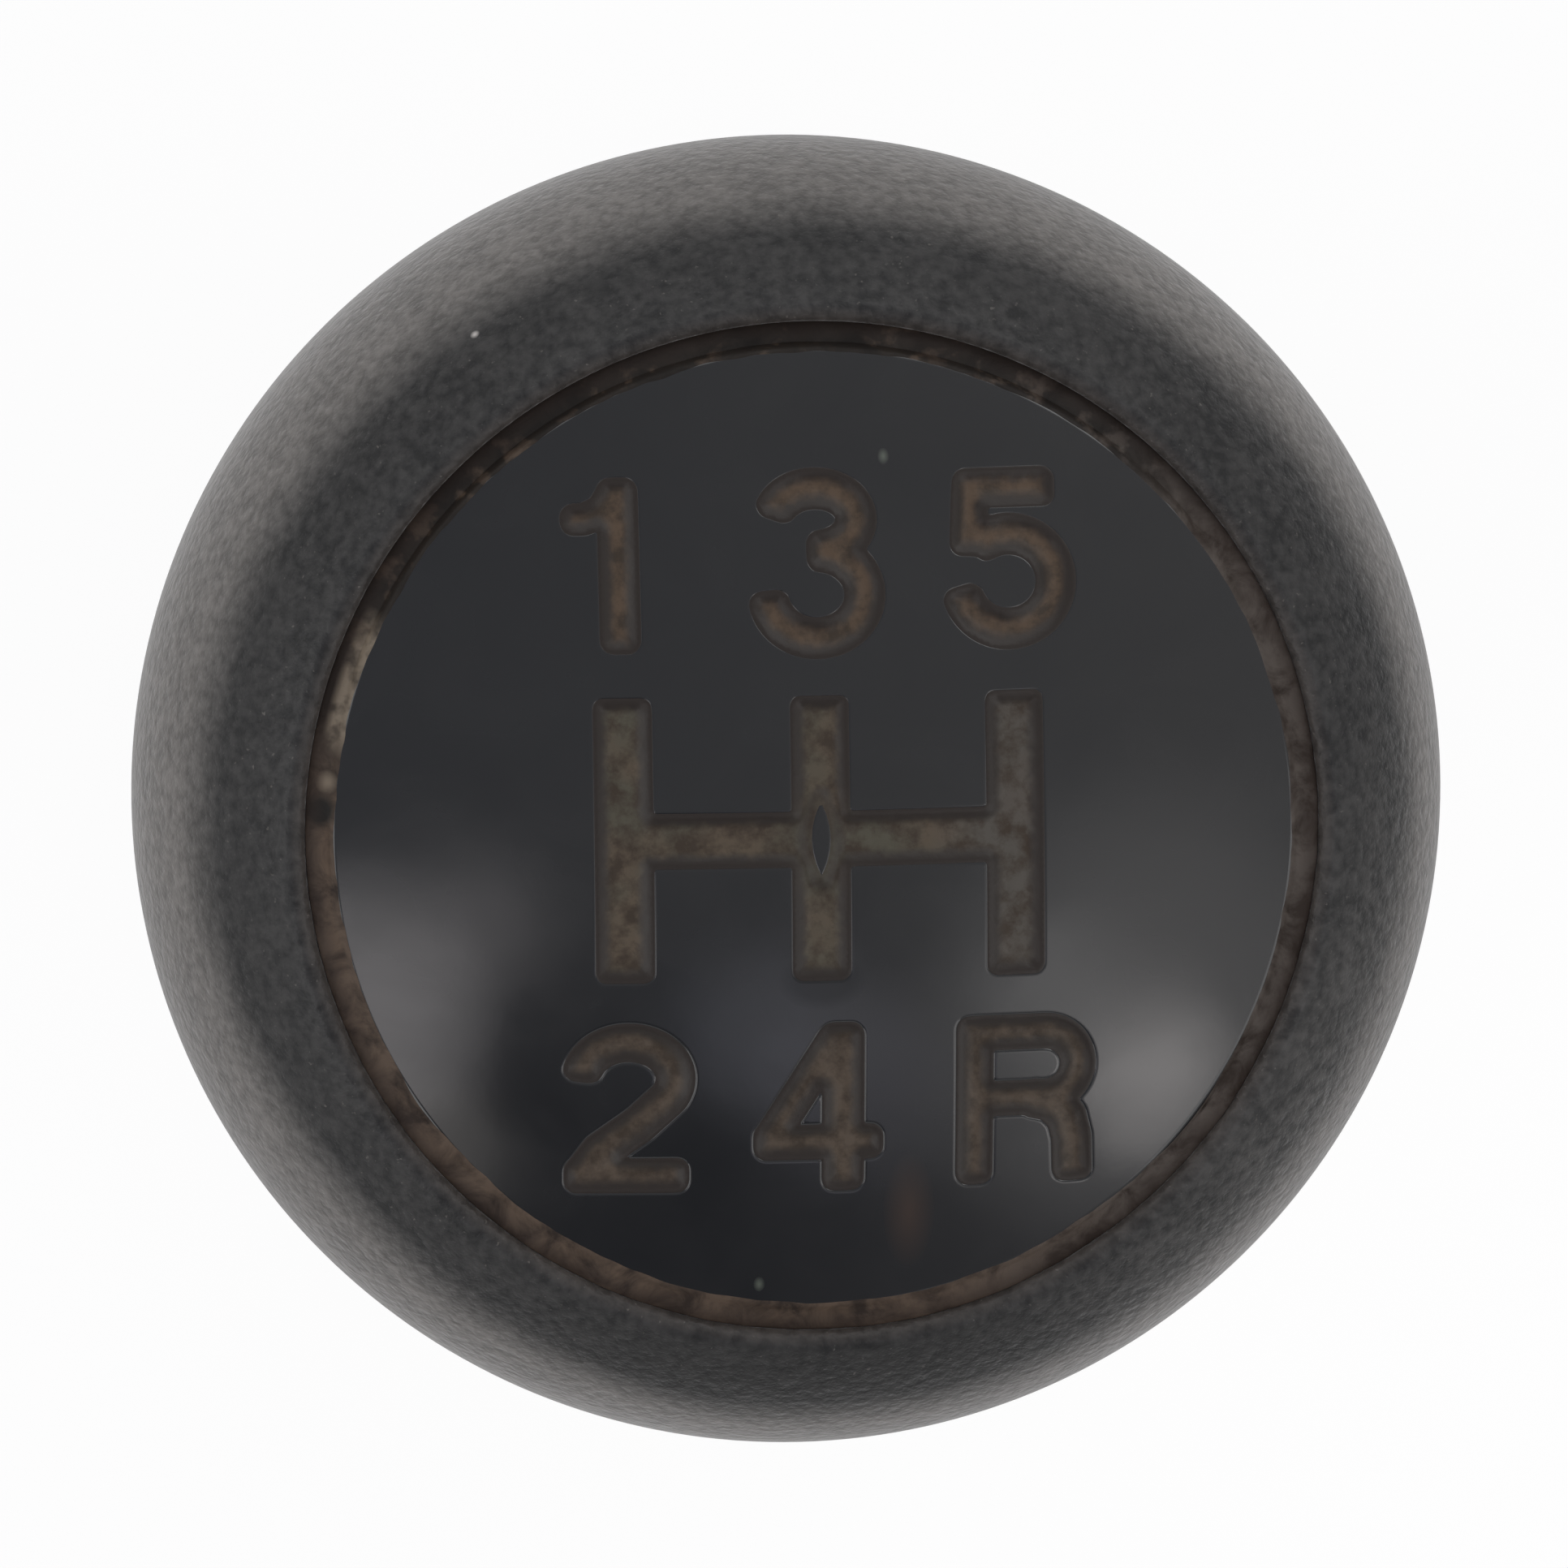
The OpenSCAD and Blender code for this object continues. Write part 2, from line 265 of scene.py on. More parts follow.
def grip_top(tree, tone):
    """Colour of the dark upper face, paler at the lower right as a painted sheen and darkest in front as
    painted shade.
    """
    top = mix(tree, tone, (0.002, 0.002, 0.0025), (0.028, 0.027, 0.0265))
    # Paler tone for the lower right: a painted sheen standing in for the light from that side
    worn = mix(tree, tone, (0.014, 0.0135, 0.013), (0.068, 0.065, 0.062))
    # Darkest tone for the front: painted shade on the side the light reaches least
    painted_front_shade = mix(tree, tone, (0.001, 0.001, 0.001), (0.012, 0.0115, 0.0115))
    top = mix(tree, ramp(tree, towards(tree, 330), 0.0165, 0.0215, 0.0, 0.75), top, worn)
    return mix(tree, ramp(tree, towards(tree, 270), 0.0182, 0.0215, 0.0, 0.9), top, painted_front_shade)


def grip_colour(tree, tone):
    """Colour of the skin: dark on top and at the foot, paler round the waist as painted light, and lightened
    at the lip's inner edge as painted light.
    """
    height = add(tree, "ShaderNodeSeparateXYZ", {0: place(tree)}).outputs["Z"]
    # Paler tone round the waist: painted light standing in for the bright floor's light and grazing
    # reflection there
    side = mix(tree, tone, (0.081, 0.075, 0.07), (0.152, 0.142, 0.133))
    foot = mix(tree, tone, (0.018, 0.0175, 0.017), (0.046, 0.0445, 0.043))
    side = mix(tree, ramp(tree, height, 0.029, 0.039, 0.0, 1.0), foot, side)
    # The edge of the painted light is shifted up or down by direction round the axis
    level = math_node(tree, "SUBTRACT", height, ramp(tree, towards(tree, 225), 0.0185, 0.0225, 0.0, 0.0009))
    level = math_node(tree, "ADD", level, ramp(tree, towards(tree, 15), 0.0185, 0.0222, 0.0, 0.0004))
    colour = mix(tree, ramp(tree, level, 0.0484, 0.0507, 1.0, 0.0), grip_top(tree, tone), side)
    # Brown at the lip's inner edge, lighter than the skin: painted light that lifts the lip's shade
    lifted_lip = mix(tree, tone, (0.022, 0.018, 0.0155), (0.05, 0.042, 0.037))
    lip = ramp(tree, from_axis(tree), 0.019, 0.0196, 1.0, 0.0)
    lip = math_node(tree, "MULTIPLY", lip, ramp(tree, height, 0.0495, 0.0515, 0.0, 1.0))
    return mix(tree, lip, colour, lifted_lip)


def grip_material():
    """Soft black skin with a fine grain, mottled, dusty and nicked, with painted light and shade in its
    colour.
    """
    constants = {"IOR": 1.5, "Specular_IOR_Level": 0.4, "Sheen_Weight": 0.3, "Sheen_Roughness": 0.3}
    material, tree, shader = new_material("grip_skin", **constants)
    grain = noise(tree, 0.45)
    patches = noise(tree, 1.8, seed=0.31)
    coarse = math_node(tree, "MULTIPLY", patches, 0.35)
    tone = math_node(tree, "ADD", math_node(tree, "MULTIPLY", grain, 0.65), coarse)
    colour = grip_colour(tree, ramp(tree, tone, 0.38, 0.62, 0.0, 1.0))
    dust = ramp(tree, noise(tree, 0.22, detail=2.0, seed=0.53), 0.68, 0.76, 0.0, 0.5)
    colour = mix(tree, dust, colour, (0.13, 0.12, 0.11))
    colour = mix(tree, spot(tree, (-12.25, 18.54, 50.57), 0.2, soft=0.8), colour, (0.4, 0.38, 0.36))
    colour = mix(tree, spot(tree, (15.95, 9.9, 53.4), 0.3), colour, (0.2, 0.15, 0.14))
    rough = ramp(tree, patches, 0.3, 0.7, 0.5, 0.6)
    fine = bump(tree, noise(tree, 0.2, detail=2.0, seed=0.77), 0.012)
    link(tree, shader, Base_Color=colour, Roughness=rough, Normal=bump(tree, grain, 0.1, normal=fine))
    return material


def cap_material():
    """Polished black plastic, dulled a little by handling."""
    material, tree, shader = new_material("cap_gloss", IOR=1.5)
    smear = noise(tree, 5.0, detail=4.0, seed=0.2, distort=0.6)
    colour = mix(tree, smear, (0.0105, 0.011, 0.012), (0.0155, 0.016, 0.0165))
    smudge = spot(tree, (3.3, -14.3, 54.1), 1.0, soft=0.95, squeeze=(1, 0.42, 0.42))
    colour = mix(tree, smudge, colour, (0.036, 0.025, 0.02))
    for centre in ((2.62, 14.06, 54.35), (-2.3, -17.1, 53.6)):
        speck = spot(tree, centre, 0.22, soft=0.9, squeeze=(1, 0.7, 0.5))
        colour = mix(tree, speck, colour, (0.08, 0.09, 0.075))
    rough = ramp(tree, smear, 0.35, 0.7, 0.11, 0.19)
    dull = spot(tree, (0, -5.35, 55.83), 1.7, soft=0.4, squeeze=(1, 1.5, 1))
    gloss = ramp(tree, dull, 0.0, 1.0, 0.5, 0.36)
    wavy = bump(tree, noise(tree, 3.5, detail=1.0, seed=0.4), 0.012)
    fine = bump(tree, noise(tree, 0.3, detail=2.0, seed=0.9), 0.0006, normal=wavy)
    link(tree, shader, Base_Color=colour, Roughness=rough, Specular_IOR_Level=gloss, Normal=fine)
    return material


def paint_material():
    """Aged tan filling paint, uneven and stained, and darker along the walls with painted shade."""
    material, tree, shader = new_material("legend_paint", IOR=1.45, Specular_IOR_Level=0.35)
    stain = noise(tree, 0.9, detail=4.0, rough=0.65, seed=0.15)
    hue = ramp(tree, noise(tree, 2.5, detail=2.0, seed=0.35), 0.4, 0.6, 0.0, 1.0)
    tan = mix(tree, hue, (0.074, 0.056, 0.038), (0.06, 0.055, 0.039))
    tan = mix(tree, ramp(tree, towards(tree, 0), 0.004, 0.006, 0.0, 0.8), tan, (0.063, 0.056, 0.049))
    upper = ramp(tree, towards(tree, 90), -0.006, 0.006, 0.0, 1.0)
    figure = mix(tree, upper, (0.07, 0.052, 0.037), (0.074, 0.049, 0.031))
    beyond_gate = ramp(tree, math_node(tree, "ABSOLUTE", towards(tree, 90)), 0.0062, 0.0068, 0.0, 1.0)
    tan = mix(tree, beyond_gate, tan, figure)
    colour = mix(tree, ramp(tree, stain, 0.38, 0.6, 0.0, 1.0), (0.032, 0.022, 0.014), tan)
    # Darker along the engraving's walls: staining together with painted shade of the walls
    edge = add(tree, "ShaderNodeAttribute", attribute_name="stain").outputs["Fac"]
    colour = mix(tree, edge, colour, (0.0185, 0.014, 0.0115))
    rough = ramp(tree, edge, 0.0, 1.0, 0.5, 0.42)
    link(tree, shader, Base_Color=colour, Roughness=rough, Normal=bump(tree, stain, 0.03))
    return material


def bond_material():
    """Old adhesive in the groove, brown with darker lumps, with painted shade along the back and at its
    outer edge and painted highlights at the left.
    """
    material, tree, shader = new_material("old_bond", IOR=1.45, Specular_IOR_Level=0.25)
    lumps = noise(tree, 1.5, detail=5.0, rough=0.65, seed=0.62, distort=0.5)
    rightwards = ramp(tree, towards(tree, 0), 0.004, 0.012, 0.0, 1.0)
    tan = mix(tree, rightwards, (0.083, 0.058, 0.041), (0.07, 0.058, 0.05))
    colour = mix(tree, ramp(tree, lumps, 0.38, 0.6, 0.0, 1.0), (0.021, 0.014, 0.0105), tan)
    # Near black along the back: painted shade where the groove faces away from the light
    dark = ramp(tree, towards(tree, 106), 0.0065, 0.0105, 0.0, 0.9)
    dark = math_node(tree, "MULTIPLY", dark, ramp(tree, noise(tree, 1.0, seed=0.18), 0.54, 0.64, 1.0, 0.3))
    colour = mix(tree, dark, colour, (0.007, 0.0055, 0.0045))
    # Pale tan streak at the left: a painted highlight where the light catches the adhesive
    along = math_node(tree, "ABSOLUTE", towards(tree, 251))
    along = math_node(tree, "ADD", along, math_node(tree, "MULTIPLY", lumps, 0.001))
    highlight_streak = ramp(tree, along, 0.0024, 0.0034, 1.0, 0.0)
    bounds = (ramp(tree, towards(tree, 161), 0.005, 0.01, 0.0, 1.0),
              ramp(tree, from_axis(tree), 0.01845, 0.01875, 1.0, 0.0),
              ramp(tree, noise(tree, 0.9, seed=0.71), 0.38, 0.55, 0.25, 1.0))
    for bound in bounds:
        highlight_streak = math_node(tree, "MULTIPLY", highlight_streak, bound)
    colour = mix(tree, highlight_streak, colour, (0.16, 0.13, 0.098))
    # A second painted highlight a little further round
    colour = mix(tree, spot(tree, (-18.2, 2.2, 53.2), 0.5, soft=0.7), colour, (0.15, 0.12, 0.09))
    colour = mix(tree, spot(tree, (-18.5, 1.1, 53.2), 0.8, soft=0.5), colour, (0.006, 0.005, 0.004))
    # Darker at the outer edge: painted shade of the gap next to the recess wall
    away = math_node(tree, "ADD", from_axis(tree), math_node(tree, "MULTIPLY", lumps, 0.0006))
    colour = mix(tree, ramp(tree, away, 0.0186, 0.0191, 0.0, 0.55), colour, (0.024, 0.016, 0.0125))
    link(tree, shader, Base_Color=colour, Roughness=ramp(tree, lumps, 0.3, 0.7, 0.7, 0.5),
         Normal=bump(tree, lumps, 0.06))
    return material


def brass_material():
    """Turned brass, dulled and lightly stained."""
    material, tree, shader = new_material("turned_brass", Metallic=1.0)
    stain = noise(tree, 2.2, seed=0.44)
    colour = mix(tree, ramp(tree, stain, 0.35, 0.7, 0.0, 1.0), (0.62, 0.43, 0.17), (0.38, 0.26, 0.11))
    marks = noise(tree, 0.2, detail=2.0, seed=0.12)
    link(tree, shader, Base_Color=colour, Roughness=ramp(tree, stain, 0.3, 0.7, 0.26, 0.42),
         Normal=bump(tree, marks, 0.006))
    return material


def core_material():
    """Plain moulded black plastic with a fine spark-eroded texture."""
    material, tree, shader = new_material("core_plastic", IOR=1.5)
    cloud = noise(tree, 3.0, seed=0.28)
    colour = mix(tree, cloud, (0.024, 0.024, 0.026), (0.04, 0.04, 0.042))
    texture = noise(tree, 0.14, detail=2.0, seed=0.5)
    link(tree, shader, Base_Color=colour, Roughness=ramp(tree, cloud, 0.3, 0.7, 0.42, 0.55),
         Normal=bump(tree, texture, 0.012))
    return material


# Grip

def grip_profile():
    """Section of the grip, outside from the foot up and inside back down along the core."""
    shoulder_x = KNOB_R - SHOULDER_R
    belly_x = KNOB_R - BELLY_R
    sweep_x = NECK_R + SWEEP_R
    sweep_z = WAIST_Z - math.sqrt((BELLY_R + SWEEP_R) ** 2 - (sweep_x - belly_x) ** 2)
    belly_turn = math.degrees(math.atan2(WAIST_Z - sweep_z, sweep_x - belly_x))
    lip_x = RECESS_R + LIP_EDGE_R
    lip_rise = math.sqrt((SHOULDER_R - LIP_EDGE_R) ** 2 - (lip_x - shoulder_x) ** 2)
    lip_turn = math.degrees(math.atan2(lip_rise, lip_x - shoulder_x))
    base_r = NECK_R - FOOT_WALL
    edge_r = 0.3
    outside = arc(NECK_R - FOOT_EDGE_R, FOOT_EDGE_R, FOOT_EDGE_R, -90, 0, 10)
    outside += arc(sweep_x, sweep_z, SWEEP_R, 180, 180 - belly_turn, 24)
    outside += arc(belly_x, WAIST_Z, BELLY_R, -belly_turn, 0, 26)[1:]
    outside += arc(shoulder_x, WAIST_Z, SHOULDER_R, 0, lip_turn, 40)[1:]
    outside += arc(lip_x, WAIST_Z + lip_rise, LIP_EDGE_R, lip_turn, 180, 12)[1:]
    inside = [(RECESS_R, SEAT_Z), (PLATE_R, SEAT_Z), (PLATE_R, SEAT_Z - PLATE_T), (HUB_R, SEAT_Z - PLATE_T),
              (HUB_R, CORE_Z + BASE_T), (base_r, CORE_Z + BASE_T)]
    inside += arc(base_r + edge_r, edge_r, edge_r, 180, 270, 4)
    return outside + inside


def build_grip(material):
    """The moulded skin."""
    profile = grip_profile()
    points = revolved(profile, TURNS)
    obj = make_piece("grip_skin", points, ring_faces(len(profile), TURNS, True), material)
    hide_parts("grip")
    return obj


# Legend

def rim_edges(node):
    """Edges round the top face of a paint node, as pairs of points in mm seen from above."""
    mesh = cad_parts[node].data
    mesh.calc_loop_triangles()
    kinds = {}
    for triangle in mesh.loop_triangles:
        tilt = triangle.normal.z
        kind = "top" if tilt > 0.5 else "wall" if abs(tilt) < 0.3 else "floor"
        spots = [tuple(round(c / MM, 3) for c in mesh.vertices[i].co) for i in triangle.vertices]
        for a, b in zip(spots, spots[1:] + spots[:1]):
            kinds.setdefault(frozenset((a, b)), set()).add(kind)
    edges = [sorted(pair) for pair, kind in kinds.items() if kind == {"top", "wall"} and len(pair) == 2]
    return np.array(edges)[:, :, :2]


def signed_distance(x, y, edges):
    """Distance of points from closed outlines, negative inside."""
    nearest = np.full(x.shape, 1e9)
    inside = np.zeros(x.shape, bool)
    for (ax, ay), (bx, by) in edges:
        dx, dy = bx - ax, by - ay
        along = np.clip(((x - ax) * dx + (y - ay) * dy) / max(dx * dx + dy * dy, 1e-12), 0, 1)
        nearest = np.minimum(nearest, (x - ax - along * dx) ** 2 + (y - ay - along * dy) ** 2)
        if ay != by:
            inside ^= ((ay > y) != (by > y)) & (x < ax + (y - ay) * dx / dy)
    return np.where(inside, -1.0, 1.0) * np.sqrt(nearest)


# Sides of a grid cell that a level crosses, by which of its corners lie below that level
CROSSINGS = {1: ("BL",), 2: ("BR",), 3: ("LR",), 4: ("RT",), 5: ("BL", "RT"), 6: ("BT",), 7: ("LT",),
             8: ("LT",), 9: ("BT",), 10: ("BR", "LT"), 11: ("RT",), 12: ("LR",), 13: ("BR",), 14: ("BL",)}
FAR = 9.0


class Field:
    """Distances from one glyph's outline on an even grid round it."""

    def __init__(self, low, high):
        self.low = low
        self.x = np.arange(low[0], high[0] + GRID, GRID)
        self.y = np.arange(low[1], high[1] + GRID, GRID)
        self.gx, self.gy = np.meshgrid(self.x, self.y)
        self.values = None

    def measure(self, edges):
        """Fills the grid with the distances from outlines."""
        self.values = signed_distance(self.gx, self.gy, edges)

    def at(self, x, y):
        """Distances at points, and far away for those off the grid."""
        u = (x - self.low[0]) / GRID
        v = (y - self.low[1]) / GRID
        inside = (u >= 0) & (v >= 0) & (u < len(self.x) - 1) & (v < len(self.y) - 1)
        i = np.clip(v.astype(int), 0, len(self.y) - 2)
        j = np.clip(u.astype(int), 0, len(self.x) - 2)
        s, t = u - j, v - i
        f = self.values
        lower = f[i, j] * (1 - s) + f[i, j + 1] * s
        upper = f[i + 1, j] * (1 - s) + f[i + 1, j + 1] * s
        return np.where(inside, lower * (1 - t) + upper * t, FAR)

    def crossing(self, side, level):
        """Where a level crosses one side of a cell."""
        across, i, j = side
        m, n = (i, j + 1) if across else (i + 1, j)
        a, b = self.values[i, j] - level, self.values[m, n] - level
        part = a / (a - b)
        return (self.gx[i, j] + part * (self.gx[m, n] - self.gx[i, j]),
                self.gy[i, j] + part * (self.gy[m, n] - self.gy[i, j]))

    def loops(self, level, spacing):
        """Closed loops of evenly spaced points along one level."""
        below = self.values < level
        case = below[:-1, :-1] + 2 * below[:-1, 1:] + 4 * below[1:, 1:] + 8 * below[1:, :-1]
        joined = {}
        for i, j in np.argwhere((case > 0) & (case < 15)):
            sides = {"B": (1, i, j), "T": (1, i + 1, j), "L": (0, i, j), "R": (0, i, j + 1)}
            for pair in CROSSINGS[case[i, j]]:
                a, b = sides[pair[0]], sides[pair[1]]
                joined.setdefault(a, []).append(b)
                joined.setdefault(b, []).append(a)
        found = []
        while joined:
            start = next(iter(joined))
            chain = [start]
            here = joined.pop(start)[0]
            while here != start and here in joined:
                chain.append(here)
                after = joined.pop(here)
                onward = after[0] in joined or after[0] == start and len(chain) > 2
                here = after[0] if onward else after[1]
            found.append(even_loop(np.array([self.crossing(side, level) for side in chain]), spacing))
        return [loop for loop in found if len(loop) >= 6]


def even_loop(loop, spacing):
    """The same closed loop with even steps."""
    closed = np.vstack([loop, loop[:1]])
    length = np.concatenate([[0], np.cumsum(np.hypot(*np.diff(closed, axis=0).T))])
    count = int(round(length[-1] / spacing))
    if count < 6:
        return loop[:0]
    at = np.arange(count) * length[-1] / count
    return np.column_stack([np.interp(at, length, closed[:, 0]), np.interp(at, length, closed[:, 1])])


def loop_edges(loops):
    """The sides of closed loops as pairs of points."""
    return np.concatenate([np.stack([loop, np.roll(loop, -1, axis=0)], axis=1) for loop in loops])


def glyph_field(glyph):
    """Distances from a glyph whose corners are rounded as an engraving cutter leaves them."""
    edges = rim_edges("paint_" + glyph)
    margin = 1.1
    field = Field(edges.min(axis=(0, 1)) - margin, edges.max(axis=(0, 1)) + margin)
    field.measure(edges)
    outer = 0.12 if glyph == "gate" else 0.24
    inner = 0.12
    field.measure(loop_edges(field.loops(-outer, FINE_STEP)))
    field.values -= outer
    field.measure(loop_edges(field.loops(inner, FINE_STEP)))
    field.values += inner
    return field


FIELDS = {glyph: glyph_field(glyph) for glyph in GLYPHS}


def legend_distance(x, y):
    """Distance from the nearest glyph, negative inside it."""
    return np.minimum.reduce([field.at(x, y) for field in FIELDS.values()])


def engraved_depth(x, y):
    """Depth of the engraving below the cap's face."""
    t = np.clip((legend_distance(x, y) - WALL_IN) / (WALL_OUT - WALL_IN), 0, 1)
    return ENGRAVE_DEPTH * (1 - t * t * (3 - 2 * t))


def on_dome(x, y, depth):
    """Points at a depth below the cap's face."""
    z = DOME_Z + np.sqrt((DOME_R - depth) ** 2 - x ** 2 - y ** 2)
    return np.column_stack([x, y, z])


def hex_points(low, high, pitch):
    """Points of an even triangular pattern over a rectangle."""
    rows = np.arange(low[1], high[1], pitch * math.sqrt(0.75))
    cols = np.arange(low[0], high[0], pitch)
    x, y = np.meshgrid(cols, rows)
    x = x + (np.arange(len(rows)) % 2)[:, None] * pitch / 2
    return np.column_stack([x.ravel(), y.ravel()])


def triangulate(loops, loose):
    """Triangles over loops and loose points, with the new place of every point given."""
    points, edges = [], []
    for loop in loops:
        first = len(points)
        points += [Vector(p) for p in loop]
        edges += [(first + i, first + (i + 1) % len(loop)) for i in range(len(loop))]
    points += [Vector(p) for p in loose]
    verts, _, faces, origins, _, _ = delaunay_2d_cdt(points, edges, [], 0, 1e-6)
    moved = {}
    for new, olds in enumerate(origins):
        for old in olds:
            moved[old] = new
    return np.array([tuple(v) for v in verts]), [tuple(f) for f in faces], moved


# Cap

def cap_top():
    """Points and triangles of the cap's engraved face, and its outer ring in order."""
    turn = np.arange(TURNS) * TAU / TURNS
    circle = np.column_stack([np.cos(turn), np.sin(turn)])
    edge_w = 0.3
    loops = [circle * DISC_R, circle * (DISC_R - edge_w)]
    for field in FIELDS.values():
        for level in (*np.linspace(WALL_IN, WALL_OUT, WALL_LOOPS), WALL_OUT + 0.06):
            loops += field.loops(level, LOOP_STEP)
    loose = hex_points((-CAP_R, -CAP_R), (CAP_R, CAP_R), CAP_PITCH)
    apart = legend_distance(*loose.T)
    off_walls = (apart > WALL_OUT + edge_w) | (apart < WALL_IN - 0.12)
    loose = loose[off_walls & (np.hypot(*loose.T) < DISC_R - 2 * edge_w)]
    points, faces, moved = triangulate(loops, loose)
    return points, faces, [moved[i] for i in range(TURNS)]


def cap_normals(x, y):
    """True directions of the engraved face at points on it."""
    step = 0.03
    dx = (engraved_depth(x + step, y) - engraved_depth(x - step, y)) / (2 * step)
    dy = (engraved_depth(x, y + step) - engraved_depth(x, y - step)) / (2 * step)
    out = on_dome(x, y, engraved_depth(x, y)) - np.array([0, 0, DOME_Z])
    out /= np.linalg.norm(out, axis=1)[:, None]
    out += np.column_stack([dx, dy, np.zeros_like(dx)])
    return out / np.linalg.norm(out, axis=1)[:, None]


def cap_profile():
    """Section of the cap from below its face round the edge, the rim and the hollow to near the axis."""
    low_z = SEAT_Z + BOND_T
    chamfer = 0.15
    edge = arc(CAP_EDGE_X, CAP_EDGE_Z, CAP_EDGE_R, CAP_EDGE_TURN, 0, 10)[1:]
    rim = [(CAP_R, low_z + chamfer), (CAP_R - chamfer, low_z),
           (HOLLOW_R + chamfer, low_z), (HOLLOW_R, low_z + chamfer)]
    turn = math.degrees(math.acos(HOLLOW_R / CEILING_R))
    return edge + rim + arc(0, DOME_Z, CEILING_R, turn, 89, 10)


def cylinder_mesh(x, y, low, high, r, first, turns=24):
    """Points and faces of an upright closed cylinder."""
    turn = np.arange(turns) * TAU / turns
    ring_x, ring_y = x + r * np.cos(turn), y + r * np.sin(turn)
    rows = [np.column_stack([ring_x, ring_y, np.full(turns, z)]) for z in (low, high)]
    faces = ring_faces(2, turns, False, first)
    faces.append(tuple(first + j for j in reversed(range(turns))))
    faces.append(tuple(first + turns + j for j in range(turns)))
    return np.vstack(rows), faces


def build_cap(material):
    """The glossy cap with its engraving, rim, hollow and two pegs."""
    flat, faces, ring = cap_top()
    depth = engraved_depth(*flat.T)
    points = on_dome(*flat.T, depth)
    top_faces = len(faces)
    profile = cap_profile()
    sides = revolved(profile, TURNS)
    first = len(points)
    faces += [(ring[j], first + j, first + (j + 1) % TURNS, ring[(j + 1) % TURNS]) for j in range(TURNS)]
    faces += [tuple(reversed(face)) for face in ring_faces(len(profile), TURNS, False, first)]
    apex = first + len(sides)
    last = apex - TURNS
    faces += [(apex, last + (j + 1) % TURNS, last + j) for j in range(TURNS)]
    points = np.vstack([points, sides, [[0, 0, DOME_Z + CEILING_R]]])
    root_z = DOME_Z + math.sqrt(CEILING_R ** 2 - PEG_X ** 2)
    for side in (-1, 1):
        heights = (root_z - PEG_L, root_z + CAP_WALL / 2)
        peg, peg_faces = cylinder_mesh(side * PEG_X, 0, *heights, PEG_R, len(points))
        points = np.vstack([points, peg])
        faces += peg_faces
    obj = make_piece("cap_disc", points, faces, material)
    set_face_normals(obj.data, top_faces, cap_normals(*flat.T))
    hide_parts("cap")
    return obj


def set_face_normals(mesh, top_faces, normals):
    """Gives the engraved face its true directions, so that its gloss stays even."""
    wanted = np.zeros((len(mesh.loops), 3))
    for polygon in mesh.polygons[:top_faces]:
        for i in polygon.loop_indices:
            wanted[i] = normals[mesh.loops[i].vertex_index]
    mesh.normals_split_custom_set(wanted.tolist())


# Paint

# The film climbs the wall to this distance from the outline, and a little further but in three glyphs
PAINT_END = 0.2
PAINT_MORE = 0.032
BARE_EDGES = ("2", "4", "r")

# Depths in mm: the paint's surface in the middle of a stroke, at its wall, at the least and at its end
PAINT_T = 0.26
PAINT_WORN = 0.04
PAINT_WALL_T = 0.03
PAINT_LEAST_T = 0.012
PAINT_STEP = 0.05
PAINT_FADE = 0.04
PAINT_UNDER = 0.06


def paint_thickness(x, y, apart, finish, seed):
    """Thickness of the aged paint, which sags in the middle, climbs the wall and ends under its edge."""
    uneven = 0.018 * waves(x, y, 0.8, seed) + 0.01 * waves(x, y, 0.3, seed + 50)
    worn = np.exp(-((x - 7.6) ** 2 / 1.2 + (y - 3.4) ** 2 / 3.5))
    rise = np.clip((apart + 0.5) / 0.62, 0, 1)
    flatter = 1 - rise * rise * (3 - 2 * rise)
    sunk = (PAINT_T + PAINT_WORN * worn - uneven) * flatter + PAINT_WALL_T * rise
    end = np.clip((apart - finish + PAINT_FADE) / PAINT_FADE, 0, 1)
    return np.maximum(engraved_depth(x, y) - sunk, PAINT_LEAST_T) - PAINT_STEP * end


def paint_sheet(field, finish):
    """Points and triangles of one glyph's film, seen from above, out to where it ends."""
    loops = field.loops(finish, LOOP_STEP) + field.loops(finish - PAINT_STEP, LOOP_STEP)
    loose = hex_points(field.low, (field.x[-1], field.y[-1]), PAINT_PITCH)
    loose = loose[field.at(*loose.T) < finish - LOOP_STEP]
    flat, faces, _ = triangulate(loops, loose)
    middle = np.array([flat[list(face)].mean(axis=0) for face in faces])
    faces = [face for face, keep in zip(faces, field.at(*middle.T) < finish) if keep]
    used = sorted({i for face in faces for i in face})
    order = {old: new for new, old in enumerate(used)}
    return flat[used], [tuple(order[i] for i in face) for face in faces]


def closed_faces(faces, count):
    """A sheet's faces with those of its underside, and with the walls between their open sides."""
    sides = dict.fromkeys((a, b) for face in faces for a, b in zip(face, face[1:] + face[:1]))
    walls = [(b, a, a + count, b + count) for a, b in sides if (b, a) not in sides]
    under = [tuple(i + count for i in reversed(face)) for face in faces]
    return faces + under + walls


def store_stain_and_shade(mesh, flat, apart, seed):
    """Keeps on the mesh how stained and shaded the paint is: most along the walls, where the darkening is
    partly painted shade, and least in the middle.
    """
    stain = np.clip((apart + 0.43) / 0.27 + 0.15 * waves(*flat.T, 0.5, seed), 0, 1)
    stain *= 1 - 0.8 * np.exp(-(flat[:, 0] / 0.8) ** 2 - (flat[:, 1] / 1.8) ** 4)
    stored = mesh.attributes.new("stain", "FLOAT", "POINT")
    stored.data.foreach_set("value", np.concatenate([stain, stain]))


